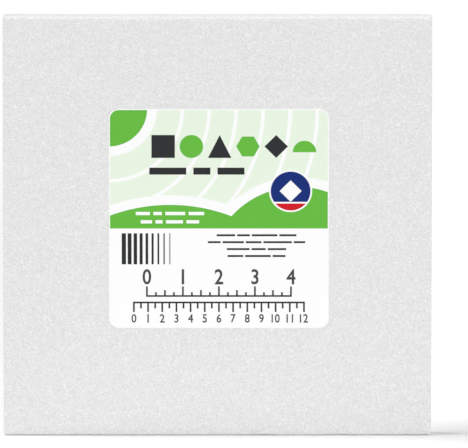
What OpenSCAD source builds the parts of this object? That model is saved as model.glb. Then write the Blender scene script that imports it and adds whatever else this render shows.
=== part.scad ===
// Square craft foam board standing on one cut edge, with a printed paper label on its front face.
// The front face looks towards -Y. The origin is the middle of the edge that the board stands on.

/* [Board] */
// Width of the board across its front face
board_w = 302.3; // [240:0.1:400]
// Height of the board, from the edge it stands on to the top edge
board_h = 302.3; // [240:0.1:400]
// Thickness of the board, from its front face to its back face
board_t = 12.7; // [10:0.1:60]
// Radius of the softened edges and corners
edge_r = 1.5; // [0.5:0.1:4]

/* [Label paper] */
// Width of the label
label_w = 155; // [140:0.5:200]
// Height of the label
label_h = 158; // [150:0.5:200]
// Thickness of the label's paper
label_t = 0.15; // [0.1:0.01:0.4]
// Radius of the label's corners
label_corner_r = 7; // [3:0.5:15]
// Distance of the label's middle to the right of the board's middle
label_right = 1; // [-10:0.5:10]
// Distance of the label's middle above the board's middle
label_up = 6; // [-10:0.5:10]
// Thickness of the printed ink
ink_t = 0.04; // [0.02:0.01:0.1]
// Width of the bare margin between the print and the label's edge
margin = 0.8; // [0.2:0.1:2]

/* [Landscape] */
// Share of the label's height that the landscape takes
picture_share = 0.545; // [0.53:0.005:0.58]
// Width of the white line along the hills and round the sun
white_line = 7; // [3:0.5:10]
// Radius of the sun in the upper left corner
sun_r = 27; // [15:1:35]
// Distance from one white ring in the sky to the next
ring_step = 19; // [12:1:30]
// Width of each white ring
ring_w = 2.6; // [1:0.1:5]
// Radius of the left hill
left_hill_r = 120; // [80:1:200]
// Height of the left hill above the landscape's lower edge
left_hill_rise = 17; // [10:1:25]
// Distance of the left hill's top from the label's left edge
left_hill_in = 43; // [30:1:60]
// Radius of the right hill
right_hill_r = 62; // [50:1:100]
// Height of the right hill above the landscape's lower edge
right_hill_rise = 30; // [20:1:36]
// Distance of the right hill's top from the label's right edge
right_hill_in = 22; // [10:1:35]

/* [Row of plain shapes] */
// Size of each shape across
shape_d = 16.5; // [8:0.5:18]
// Distance of the shapes' middle below the label's upper edge
shapes_down = 27; // [20:0.5:30]
// Gap between the sun and the first shape
sun_gap = 3; // [1:0.5:8]
// Bare sky between the last shape and the label's right edge
row_end = 9; // [6:0.5:15]

/* [Title words] */
// Height of the title words
title_h = 5; // [3:0.5:7]
// Gap between the row of shapes and the title words
title_gap = 7; // [3:0.5:8]
// Distance of the title words' middle from the label's left edge
title_in = 62; // [50:1:75]

/* [Badge] */
// Radius of the round badge
badge_r = 14; // [8:0.5:16]
// Width of the white line round the badge and inside it
badge_line = 1.2; // [0.6:0.1:2]
// Distance of the badge's middle from the label's right edge
badge_in = 27; // [20:1:32]
// Height of the badge's middle above the landscape's lower edge
badge_up = 27; // [20:1:32]
// Height of the badge's red foot
badge_foot_h = 5; // [3:0.5:7]
// Size of the white square in the badge
badge_square = 11; // [5:0.5:12]

/* [Lines of print] */
// Height of a line of the white print on the hills
white_bar_h = 2.4; // [1:0.1:3]
// Distance from one line of the white print to the next
white_step = 6; // [4:0.5:7]
// Height of a line of the dark print on the bare paper
dark_bar_h = 1.4; // [0.6:0.1:2.5]
// Distance from one line of the dark print to the next
dark_step = 5; // [3:0.5:5.5]
// Distance of the dark print's middle from the label's right edge
dark_in = 51; // [40:1:60]

/* [Scales] */
// Height of each scale's longest marks
scale_h = 7.5; // [6:0.5:8.5]
// Bare paper for the figures above the inch marks
inch_figure_room = 12.5; // [8:0.5:13]
// Bare paper for the figures below the centimetre marks
cm_figure_room = 8; // [6:0.5:8.5]
// Width of each scale's marks
mark_w = 1.2; // [0.4:0.1:1.6]
// Height of the lower scale's foot above the label's lower edge
scale_low = 3.5; // [3:0.5:5]
// Gap between the two scales, and from them to the bars above
scale_gap = 3.5; // [2:0.5:5]
// Bare paper at each end of the scales
scale_end = 9; // [6:0.5:20]
// Width of the broadest bar of the line gauge
gauge_bar_w = 3; // [1:0.1:3.5]
// Distance from one bar of the line gauge to the next
gauge_step = 4.2; // [4:0.1:5]

/* [Hidden] */
front_y = -board_t / 2;
paper_y = front_y - label_t;
label_z = board_h / 2 + label_up;
half_w = label_w / 2;
half_h = label_h / 2;
horizon = half_h - picture_share * label_h;
left_hill_x = left_hill_in - half_w;
right_hill_x = half_w - right_hill_in;
shapes = 6;
first_shape_x = sun_r + sun_gap + shape_d / 2 - half_w;
last_shape_x = half_w - row_end - shape_d / 2;
shape_step = (last_shape_x - first_shape_x) / (shapes - 1);
shapes_y = half_h - shapes_down;
left_hill_top = horizon + left_hill_rise;
title_y = shapes_y - (shape_d + title_h) / 2 - title_gap;
badge_at = [half_w - badge_in, horizon + badge_up];
scales_top = scale_low + cm_figure_room + 2 * scale_h + scale_gap + inch_figure_room - half_h;
gauge_bars = 9;
round_fn = 96;
inch = 25.4;
cm = 10;
// Marks at a half and at a quarter of a unit, as shares of the longest marks
half_mark = 0.65;
quarter_mark = 0.45;
// Lengths of the words in each line of print
title_lengths = [26, 12, 19];
white_words = [[10, 6, 14, 11], [8, 5, 12, 9]];
dark_words = [[13, 9, 18, 12], [9, 15, 11, 20, 8], [16, 10, 13], [11, 18, 9]];

// Rectangle with round corners, centred
module rounded_rect(w, h, r) {
    square([w, h - 2 * r], center = true);
    square([w - 2 * r, h], center = true);
    for (x = [r - w / 2, w / 2 - r], y = [r - h / 2, h / 2 - r])
        translate([x, y]) circle(r = r, $fn = 64);
}

// The board is cut to its outline from the front, from above and from the side
module foam_block() {
    color("whitesmoke")
    translate([0, 0, board_h / 2])
    intersection() {
        rotate([90, 0, 0])
            linear_extrude(height = board_t, center = true) rounded_rect(board_w, board_h, edge_r);
        linear_extrude(height = board_h, center = true) rounded_rect(board_w, board_t, edge_r);
        rotate([90, 0, 90])
            linear_extrude(height = board_w, center = true) rounded_rect(board_t, board_h, edge_r);
    }
}

module label() {
    color("white")
    translate([label_right, front_y, label_z]) rotate([90, 0, 0])
        linear_extrude(height = label_t) rounded_rect(label_w, label_h, label_corner_r);
}

// Ink lies on the paper's face and stops short of the paper's edge
module ink() {
    translate([label_right, paper_y, label_z]) rotate([90, 0, 0])
        linear_extrude(height = ink_t)
            intersection() {
                rounded_rect(label_w - 2 * margin, label_h - 2 * margin, label_corner_r - margin);
                union() children();
            }
}

// Everything above the landscape's lower edge
module above_horizon() {
    translate([-half_w, horizon]) square([label_w, half_h - horizon]);
}

module hill(x, top, r, grow) {
    translate([x, top - r]) circle(r = r + grow, $fn = round_fn);
}

module hills_area(grow = 0) {
    hill(left_hill_x, left_hill_top, left_hill_r, grow);
    hill(right_hill_x, horizon + right_hill_rise, right_hill_r, grow);
}

module sun_area(r) {
    translate([-half_w, half_h]) circle(r = r, $fn = round_fn);
}

module sky_rings() {
    for (r = [sun_r + white_line + ring_step : ring_step : label_w + label_h])
        difference() {
            sun_area(r);
            sun_area(r - ring_w);
        }
}

module badge_area(r) {
    translate(badge_at) circle(r = r, $fn = round_fn);
}

// One of six plain shapes, each about shape_d across
module plain_shape(kind) {
    r = shape_d / 2;
    if (kind == 0) square(shape_d, center = true);
    if (kind == 1) circle(r = r, $fn = round_fn);
    if (kind == 2) polygon([[-r, -r], [r, -r], [0, r]]);
    if (kind == 3) circle(r = r, $fn = 6);
    if (kind == 4) polygon([[-r, 0], [0, -r], [r, 0], [0, r]]);
    if (kind == 5) translate([0, -r / 2])
        intersection() {
            circle(r = r, $fn = round_fn);
            translate([-r, 0]) square([shape_d, r]);
        }
}

module shape_row(kinds) {
    for (kind = kinds)
        translate([first_shape_x + kind * shape_step, shapes_y]) plain_shape(kind);
}

// Sum of the first count entries of a list
function sum_of(list, count) = count == 0 ? 0 : list[count - 1] + sum_of(list, count - 1);

// A centred line of print: one bar for each word, with a bar's height between two words
module print_line(words, h) {
    whole = sum_of(words, len(words)) + (len(words) - 1) * h;
    for (i = [0 : len(words) - 1])
        translate([sum_of(words, i) + i * h - whole / 2, -h / 2]) square([words[i], h]);
}

module print_block(lines, x, top, step, h) {
    for (i = [0 : len(lines) - 1])
        translate([x, top - i * step]) print_line(lines[i], h);
}

// Print left white in the green of the hills
module white_print() {
    top = horizon + len(white_words) * white_step - white_bar_h / 2;
    print_block(white_words, left_hill_x, top, white_step, white_bar_h);
}

module dark_print() {
    print_block(dark_words, half_w - dark_in, horizon - scale_gap - dark_bar_h, dark_step, dark_bar_h);
}

module title_words() {
    translate([title_in - half_w, title_y]) print_line(title_lengths, title_h);
}

// Scale with a long mark at each unit and shorter marks at its halves and quarters
module scale_marks(unit, parts) {
    pitch = unit / parts;
    half = floor((half_w - scale_end) / unit) * parts;
    translate([-half * pitch - mark_w / 2, 0]) square([2 * half * pitch + mark_w, mark_w]);
    for (i = [-half : half]) {
        at_unit = i % parts == 0;
        at_half = 2 * i % parts == 0;
        share = at_unit ? 1 : at_half ? half_mark : quarter_mark;
        translate([i * pitch - mark_w / 2, 0]) square([mark_w, share * scale_h]);
    }
}

module inch_scale() {
    translate([0, scales_top - inch_figure_room - scale_h]) scale_marks(inch, 4);
}

// The centimetre scale hangs from its line, back to back with the inch scale
module centimetre_scale() {
    translate([0, scale_low + cm_figure_room + scale_h - half_h]) mirror([0, 1]) scale_marks(cm, 2);
}

// Bars from broad to fine, to compare the widths of lines
module line_gauge() {
    low = scales_top + scale_gap;
    for (i = [0 : gauge_bars - 1])
        translate([i * gauge_step + scale_end - half_w, low])
            square([gauge_bar_w * (1 - i / (gauge_bars + 1)), horizon - scale_gap - low]);
}

// The badge and its white line stay free of all other print
module clear_of_badge() {
    difference() {
        union() children();
        badge_area(badge_r + badge_line);
    }
}

module label_sky() {
    color([0.91, 0.96, 0.89]) ink() clear_of_badge()
        difference() {
            above_horizon();
            hills_area(white_line);
            sun_area(sun_r + white_line);
            sky_rings();
            shape_row([0 : shapes - 1]);
            title_words();
        }
}

module label_hills() {
    color([0.42, 0.74, 0.28]) ink() clear_of_badge() {
        difference() {
            intersection() {
                above_horizon();
                hills_area();
            }
            white_print();
        }
        sun_area(sun_r);
        shape_row([1 : 2 : shapes - 1]);
    }
}

module label_marks() {
    color([0.22, 0.23, 0.25]) ink() {
        clear_of_badge() {
            shape_row([0 : 2 : shapes - 1]);
            title_words();
        }
        dark_print();
        line_gauge();
        inch_scale();
        centimetre_scale();
    }
}

// Lower part of the badge, up to a straight line
module badge_part(h) {
    intersection() {
        badge_area(badge_r);
        translate([badge_at[0] - badge_r, badge_at[1] - badge_r]) square([2 * badge_r, h]);
    }
}

// The badge's upper part, with a white square standing on its corner in it
module label_badge() {
    color([0.08, 0.22, 0.5]) ink()
        difference() {
            badge_area(badge_r);
            badge_part(badge_foot_h + badge_line);
            translate(badge_at) rotate(45) square(badge_square, center = true);
        }
}

module label_badge_foot() {
    color([0.85, 0.1, 0.15]) ink() badge_part(badge_foot_h);
}

foam_block();
label();
label_sky();
label_hills();
label_marks();
label_badge();
label_badge_foot();
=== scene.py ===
import math

import bmesh
import bpy
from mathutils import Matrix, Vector, noise


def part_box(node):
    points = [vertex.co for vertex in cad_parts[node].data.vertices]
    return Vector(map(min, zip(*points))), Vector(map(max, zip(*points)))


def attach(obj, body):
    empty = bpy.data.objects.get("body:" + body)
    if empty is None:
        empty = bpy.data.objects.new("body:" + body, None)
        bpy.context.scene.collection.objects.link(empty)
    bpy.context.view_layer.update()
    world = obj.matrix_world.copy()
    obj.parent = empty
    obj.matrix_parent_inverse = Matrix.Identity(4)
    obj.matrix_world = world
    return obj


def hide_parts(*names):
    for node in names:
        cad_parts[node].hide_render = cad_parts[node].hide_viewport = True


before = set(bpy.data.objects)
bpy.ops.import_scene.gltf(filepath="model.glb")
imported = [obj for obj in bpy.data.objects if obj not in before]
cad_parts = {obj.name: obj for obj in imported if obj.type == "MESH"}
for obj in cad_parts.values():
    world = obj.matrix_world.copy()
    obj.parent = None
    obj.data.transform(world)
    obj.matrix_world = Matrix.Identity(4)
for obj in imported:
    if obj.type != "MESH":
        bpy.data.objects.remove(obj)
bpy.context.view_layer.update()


# Foam board: one slab of white extruded craft foam, cut to a square with a hot wire, which leaves
# faint lines along its edges. The faces are planed, so they show cut cells a little under a
# millimetre across, and handling has softened the rim and left small dents along it.

FOAM_SHADE = (0.637, 0.637, 0.637, 1)
FOAM_LIGHT = (0.884, 0.884, 0.884, 1)
foam_roughness, foam_gloss = 0.75, 0.3
board_low, board_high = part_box("foam_block")
board_size = board_high - board_low
rim_radius, rim_segments = 0.0015, 3
roll_reach, roll_depth = 0.007, 0.0002
mesh_step = 0.0015

# How many of each mark there are in a metre, and how deep it is in metres.
pits_per_m, pit_depth = 290, 0.00022
waves_per_m, wave_depth = 25, 0.00006
dents_per_m, dent_depth = 110, 0.0004
cells_per_m, bowl_depth = 1100, 0.00022
mottle_per_m, mottle_depth = 700, 0.0001
grain_per_m, grain_depth = 1600, 0.00006
lines_per_m, line_bends_per_m, line_depth = 450, 8, 0.0003

# The shade of an even cell, from 0 for dark to 1 for light, and how far each mark sways it.
even_shade = 0.45
# The hollow-shade share sets how much painted shade darkens each cell's hollow middle and lightens its
# rim.
mottle_share, odd_cell_share, painted_hollow_shade_share, line_share = 0.1, 3, 0.42, 0.24
middle_cell, odd_cell_power = 0.475, 3

bm = bmesh.new()
bmesh.ops.create_cube(bm, size=1)
bmesh.ops.scale(bm, verts=bm.verts, vec=board_size)
bmesh.ops.translate(bm, verts=bm.verts, vec=(board_low + board_high) / 2)
bmesh.ops.bevel(bm, geom=bm.edges[:], offset=rim_radius, offset_type="OFFSET", affect="EDGES",
                segments=rim_segments, profile=0.5, material=-1)
for axis in range(3):
    long_edges = [e for e in bm.edges
                  if abs((e.verts[1].co - e.verts[0].co)[axis]) > 2 * rim_radius]
    cuts = round((board_size[axis] - 2 * rim_radius) / mesh_step) - 1
    bmesh.ops.subdivide_edges(bm, edges=long_edges, cuts=cuts, use_grid_fill=True)


def rim_distance(point):
    """Distance from a point on the board to its nearest outer corner line."""
    to_sides = sorted(min(point[i] - board_low[i], board_high[i] - point[i]) for i in range(3))
    return math.hypot(to_sides[0], to_sides[1])


bm.normal_update()
cut_edge = bm.verts.layers.float.new("cut_edge")
for vert in bm.verts:
    vert[cut_edge] = 1 - abs(vert.normal.y)
    spot = vert.co.copy()
    pit = max(0.0, noise.noise(spot * pits_per_m)) * pit_depth
    wave = (0.5 + 0.5 * noise.noise(spot * waves_per_m)) * wave_depth
    to_rim = max(0.0, 1 - rim_distance(spot) / roll_reach)
    dent = max(0.0, noise.noise(spot * dents_per_m)) * dent_depth * to_rim
    vert.co -= vert.normal * (pit + wave + dent + roll_depth * to_rim ** 2)

foam_mesh = bpy.data.meshes.new("foam_board")
bm.to_mesh(foam_mesh)
bm.free()
foam_mesh.shade_smooth()
foam = bpy.data.objects.new("foam_board", foam_mesh)
bpy.context.collection.objects.link(foam)


def new_look(name):
    """A material with its node tree, its Principled shader and the piece's own coordinates."""
    look = bpy.data.materials.new(name)
    look.use_nodes = True
    tree = look.node_tree
    shader = tree.nodes["Principled BSDF"]
    place = tree.nodes.new("ShaderNodeTexCoord").outputs["Object"]
    return look, tree, shader, place


def stretched(tree, place, scale):
    """The piece's coordinates stretched by a scale along each axis."""
    mapping = tree.nodes.new("ShaderNodeMapping")
    mapping.inputs["Scale"].default_value = scale
    tree.links.new(place, mapping.inputs["Vector"])
    return mapping.outputs["Vector"]


def noise_of(tree, place, scale, detail=2.0, roughness=0.5):
    """Soft noise between 0 and 1, with scale in bumps per metre."""
    node = tree.nodes.new("ShaderNodeTexNoise")
    node.inputs["Scale"].default_value = scale
    node.inputs["Detail"].default_value = detail
    node.inputs["Roughness"].default_value = roughness
    tree.links.new(place, node.inputs["Vector"])
    return node.outputs["Fac"]


def cells_of(tree, place, scale):
    """Foam cells: each point's distance from its cell's middle, and each cell's own shade."""
    node = tree.nodes.new("ShaderNodeTexVoronoi")
    node.inputs["Scale"].default_value = scale
    tree.links.new(place, node.inputs["Vector"])
    apart = tree.nodes.new("ShaderNodeSeparateColor")
    tree.links.new(node.outputs["Color"], apart.inputs["Color"])
    return node.outputs["Distance"], apart.outputs["Red"]


def combine(tree, kind, a, b):
    """One Math node; a and b are sockets or numbers."""
    node = tree.nodes.new("ShaderNodeMath")
    node.operation = kind
    for socket, value in zip(node.inputs, (a, b)):
        if isinstance(value, (int, float)):
            socket.default_value = value
        else:
            tree.links.new(value, socket)
    return node.outputs["Value"]


def add_up(tree, total, *marks):
    """The total with each mark added, times its own weight."""
    for mark, weight in marks:
        total = combine(tree, "ADD", total, combine(tree, "MULTIPLY", mark, weight))
    return total


def bump_on(tree, shader, height, strength=1.0, distance=1.0):
    """Raises the shader's surface by height times distance, which is in metres."""
    bump = tree.nodes.new("ShaderNodeBump")
    bump.inputs["Strength"].default_value = strength
    bump.inputs["Distance"].default_value = distance
    tree.links.new(height, bump.inputs["Height"])
    tree.links.new(bump.outputs["Normal"], shader.inputs["Normal"])


def colour_between(tree, fac, low, high, start=0.0, end=1.0):
    """Colour that runs from low to high as fac runs from start to end."""
    ramp = tree.nodes.new("ShaderNodeValToRGB")
    ramp.color_ramp.elements[0].position = start
    ramp.color_ramp.elements[0].color = low
    ramp.color_ramp.elements[1].position = end
    ramp.color_ramp.elements[1].color = high
    tree.links.new(fac, ramp.inputs["Fac"])
    return ramp.outputs["Color"]


foam_look, tree, shader, place = new_look("foam_cells")
bowls, cell_shade = cells_of(tree, place, cells_per_m)
mottle = noise_of(tree, place, mottle_per_m, detail=0)
grain = noise_of(tree, place, grain_per_m, detail=2, roughness=0.6)

# Lines run along the cut edges and fade out on the two broad faces.
on_cut_edge = tree.nodes.new("ShaderNodeAttribute")
on_cut_edge.attribute_name = "cut_edge"
along_cuts = stretched(tree, place, (line_bends_per_m, lines_per_m, line_bends_per_m))
lines = combine(tree, "SUBTRACT", noise_of(tree, along_cuts, 1), 0.5)
lines = combine(tree, "MULTIPLY", lines, on_cut_edge.outputs["Fac"])
height = add_up(tree, 0, (bowls, bowl_depth), (mottle, mottle_depth), (grain, grain_depth),
                (lines, line_depth))
bump_on(tree, shader, height)

# Most cells are near one shade, and a few are far lighter or darker.
odd_cells = combine(tree, "SUBTRACT", cell_shade, middle_cell)
odd_cells = combine(tree, "POWER", odd_cells, odd_cell_power)
# Painted shade: each cell's colour is darker in its hollow middle and lighter towards its rim, as if
# shaded.
painted_hollow_shade = combine(tree, "SUBTRACT", bowls, 0.5)
shade = add_up(tree, even_shade, (mottle, mottle_share), (odd_cells, odd_cell_share),
               (painted_hollow_shade, painted_hollow_shade_share), (lines, line_share))
tree.links.new(colour_between(tree, shade, FOAM_SHADE, FOAM_LIGHT), shader.inputs["Base Color"])
shader.inputs["Roughness"].default_value = foam_roughness
shader.inputs["Specular IOR Level"].default_value = foam_gloss
foam_mesh.materials.append(foam_look)
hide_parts("foam_block")
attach(foam, "root")


# Label: a square of satin coated paper with rounded corners, stuck flat on the front face.
# The foam's grain shows through it as a faint unevenness.

PAPER_WHITE = (0.95, 0.95, 0.95, 1)
PAPER_SHADE = (0.92, 0.92, 0.92, 1)
paper_roughness, coating_gloss = 0.45, 0.12
fibres_per_m, fibre_share = 2600, 0.2
fibre_dark, fibre_light = 0.3, 0.6
show_through_per_m, show_through_depth, show_through_strength = 300, 0.0002, 0.15


def coated(name, colour, shade, roughness):
    """Coated paper or the ink on it: smooth, with fine fibres and the foam's grain beneath."""
    look, tree, shader, place = new_look(name)
    fibres = noise_of(tree, place, fibres_per_m, detail=4, roughness=0.7)
    grain = noise_of(tree, place, show_through_per_m, detail=2)
    tone = colour_between(tree, fibres, shade, colour, fibre_dark, fibre_light)
    tree.links.new(tone, shader.inputs["Base Color"])
    unevenness = add_up(tree, grain, (fibres, fibre_share))
    bump_on(tree, shader, unevenness, show_through_strength, show_through_depth)
    shader.inputs["Roughness"].default_value = roughness
    shader.inputs["Specular IOR Level"].default_value = coating_gloss
    return look


def finish_node(name, look):
    """Gives a kept CAD solid its finished material."""
    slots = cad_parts[name].data.materials
    slots.clear()
    slots.append(look)


finish_node("label", coated("coated_paper", PAPER_WHITE, PAPER_SHADE, paper_roughness))


# Print: five inks laid on the paper, each a thin even film. The pale green sky and the green
# hills are broad areas, the badge is blue and red, and the bars and scales are dark grey.

ink_roughness = 0.4
inks = {
    "label_sky": ("pale_green_ink", (0.79, 0.88, 0.745, 1), (0.77, 0.865, 0.725, 1)),
    "label_hills": ("green_ink", (0.130, 0.48, 0.050, 1), (0.122, 0.46, 0.046, 1)),
    "label_marks": ("dark_grey_ink", (0.020, 0.021, 0.023, 1), (0.026, 0.027, 0.030, 1)),
    "label_badge": ("blue_ink", (0.004, 0.024, 0.175, 1), (0.004, 0.021, 0.160, 1)),
    "label_badge_foot": ("red_ink", (0.62, 0.006, 0.014, 1), (0.58, 0.006, 0.013, 1)),
}
for node_name, (ink_name, colour, ink_shade) in inks.items():
    finish_node(node_name, coated(ink_name, colour, ink_shade, ink_roughness))


# Scale figures: plain numbers in the same dark grey ink, above the inch marks and below the
# centimetre marks.

inch, centimetre = 0.0254, 0.01
whole_inches, whole_centimetres = 4, 12
scale_marks_h, scale_gap = 0.0075, 0.0035
inch_figure_h, cm_figure_h = 0.011, 0.0062
figure_gap = 0.0015
figure_narrowing = 0.85
stroke_growth = 0.016
merge_distance = 1e-6
paper_face, ink_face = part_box("label")[0].y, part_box("label_marks")[0].y
scales_middle = (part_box("label")[0].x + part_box("label")[1].x) / 2
cm_marks_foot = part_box("label_marks")[0].z
inch_marks_top = cm_marks_foot + 2 * scale_marks_h + scale_gap


def add_figure(bm, number, height, middle_x, foot_z):
    """Prints one number, standing on foot_z and centred at middle_x, on the paper's face."""
    lettering = bpy.data.curves.new("figure", "FONT")
    lettering.body = str(number)
    lettering.extrude = 0.5
    lettering.bevel_depth = stroke_growth
    lettering.bevel_resolution = 0
    drawn = bpy.data.objects.new("figure", lettering)
    bpy.context.collection.objects.link(drawn)
    bpy.context.view_layer.update()
    mesh = bpy.data.meshes.new_from_object(drawn)
    bpy.data.objects.remove(drawn)
    bpy.data.curves.remove(lettering)
    already = set(bm.verts)
    bm.from_mesh(mesh)
    bpy.data.meshes.remove(mesh)
    verts = [v for v in bm.verts if v not in already]
    low = Vector([min(v.co[i] for v in verts) for i in range(3)])
    high = Vector([max(v.co[i] for v in verts) for i in range(3)])
    size = height / (high.y - low.y)
    for vert in verts:
        across = (vert.co.x - (low.x + high.x) / 2) * size * figure_narrowing
        up = (vert.co.y - low.y) * size
        depth = ink_face if vert.co.z > 0 else paper_face
        vert.co = (middle_x + across, depth, foot_z + up)


bm = bmesh.new()
for i in range(whole_inches + 1):
    x = scales_middle + (i - whole_inches / 2) * inch
    add_figure(bm, i, inch_figure_h, x, inch_marks_top + figure_gap)
for i in range(whole_centimetres + 1):
    x = scales_middle + (i - whole_centimetres / 2) * centimetre
    add_figure(bm, i, cm_figure_h, x, cm_marks_foot - figure_gap - cm_figure_h)
bmesh.ops.remove_doubles(bm, verts=bm.verts, dist=merge_distance)
bmesh.ops.recalc_face_normals(bm, faces=bm.faces)
figures_mesh = bpy.data.meshes.new("scale_figures")
bm.to_mesh(figures_mesh)
bm.free()
figures_mesh.materials.append(bpy.data.materials["dark_grey_ink"])
figures = bpy.data.objects.new("scale_figures", figures_mesh)
bpy.context.collection.objects.link(figures)
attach(figures, "root")


# Floor: a seamless white studio sheet, wide enough to have no edge in view, which keeps the
# board's shadow. The camera sees it a little whiter than it lights the board.

floor_size = 80
SHEET_SEEN = (0.96, 0.96, 0.96, 1)
SHEET_LIGHT = (0.78, 0.78, 0.78, 1)
bm = bmesh.new()
bmesh.ops.create_grid(bm, x_segments=1, y_segments=1, size=floor_size / 2)
floor_mesh = bpy.data.meshes.new("floor")
bm.to_mesh(floor_mesh)
bm.free()
floor = bpy.data.objects.new("floor", floor_mesh)
bpy.context.collection.objects.link(floor)


def seen_or_lighting(tree, seen, lighting, output):
    """Shows one shader to the camera and in reflections, and lights the board with the other."""
    ray = tree.nodes.new("ShaderNodeLightPath").outputs
    direct = combine(tree, "MAXIMUM", ray["Is Camera Ray"], ray["Is Glossy Ray"])
    direct = combine(tree, "MAXIMUM", direct, ray["Is Transmission Ray"])
    mix = tree.nodes.new("ShaderNodeMixShader")
    tree.links.new(direct, mix.inputs["Fac"])
    tree.links.new(lighting, mix.inputs[1])
    tree.links.new(seen, mix.inputs[2])
    tree.links.new(mix.outputs["Shader"], output)


floor_look = bpy.data.materials.new("studio_sheet")
floor_look.use_nodes = True
tree = floor_look.node_tree
tree.nodes.remove(tree.nodes["Principled BSDF"])
sheet_seen = tree.nodes.new("ShaderNodeBsdfDiffuse")
sheet_seen.inputs["Color"].default_value = SHEET_SEEN
sheet_light = tree.nodes.new("ShaderNodeBsdfDiffuse")
sheet_light.inputs["Color"].default_value = SHEET_LIGHT
seen_or_lighting(tree, sheet_seen.outputs["BSDF"], sheet_light.outputs["BSDF"],
                 tree.nodes["Material Output"].inputs["Surface"])
floor_mesh.materials.append(floor_look)


# Light: an even white surround and six soft lamps far off. The strongest stands high on the left,
# so its shadow runs off to the right. The front lamp lights the label, three low ones keep the
# sides and the back clear, and one almost straight above lights the top edge.

WHITE_LIGHT = (1, 1, 1, 1)
surround_level = 0.14
world = bpy.data.worlds.new("surround")
world.use_nodes = True
bpy.context.scene.world = world
tree = world.node_tree
surround = tree.nodes["Background"]
surround.inputs["Color"].default_value = WHITE_LIGHT
surround.inputs["Strength"].default_value = surround_level
backdrop = tree.nodes.new("ShaderNodeBackground")
backdrop.inputs["Color"].default_value = WHITE_LIGHT
seen_or_lighting(tree, backdrop.outputs["Background"], surround.outputs["Background"],
                 tree.nodes["World Output"].inputs["Surface"])


def distant_lamp(name, level, spread, azimuth, elevation):
    """A lamp far off, level being how brightly it lights a white face square to it.

    Azimuth 0 shines from the front and -90 from the left; spread is the lamp's width in degrees.
    """
    data = bpy.data.lights.new(name, "SUN")
    data.energy = level * math.pi
    data.angle = math.radians(spread)
    lamp = bpy.data.objects.new(name, data)
    bpy.context.collection.objects.link(lamp)
    a, e = math.radians(azimuth), math.radians(elevation)
    towards_lamp = Vector((math.sin(a) * math.cos(e), -math.cos(a) * math.cos(e), math.sin(e)))
    lamp.rotation_mode = "QUATERNION"
    lamp.rotation_quaternion = towards_lamp.to_track_quat("Z", "Y")


distant_lamp("front_lamp", level=0.445, spread=20, azimuth=12, elevation=15)
distant_lamp("left_lamp", level=0.58, spread=20, azimuth=-89, elevation=66)
distant_lamp("left_low_lamp", level=0.16, spread=30, azimuth=-70, elevation=12)
distant_lamp("right_lamp", level=0.25, spread=30, azimuth=80, elevation=15)
distant_lamp("back_lamp", level=0.29, spread=12, azimuth=150, elevation=8)
distant_lamp("top_lamp", level=0.14, spread=7, azimuth=180, elevation=86.5)


# Camera: a long lens straight in front of the board and a little above it, looking down. It
# stands where the board's two sides and its foot meet the pixels named here.

frame_width_px, frame_height_px = 468, 448
board_left_px, board_right_px, board_foot_px = 3.0, 432.0, 435.6
view_height = math.radians(12.5)
lens_mm, sensor_mm = 1100, 36
focal_px = frame_width_px * lens_mm / sensor_mm
distance = focal_px * board_size.x / (board_right_px - board_left_px)
foot_drop_px = board_foot_px - frame_height_px / 2
aim = Vector((
    (frame_width_px - board_left_px - board_right_px) / 2 * distance / focal_px,
    board_low.y,
    foot_drop_px * distance / (focal_px * math.cos(view_height) - foot_drop_px * math.sin(view_height)),
))
towards_camera = Vector((0, -math.cos(view_height), math.sin(view_height)))
camera_data = bpy.data.cameras.new("camera")
camera_data.lens = lens_mm
camera_data.sensor_width = sensor_mm
camera_data.clip_start = 0.1
camera_data.clip_end = 100
camera = bpy.data.objects.new("camera", camera_data)
bpy.context.collection.objects.link(camera)
camera.location = aim + towards_camera * distance
camera.rotation_mode = "QUATERNION"
camera.rotation_quaternion = towards_camera.to_track_quat("Z", "Y")
bpy.context.scene.camera = camera
bpy.context.scene.view_settings.view_transform = "Standard"
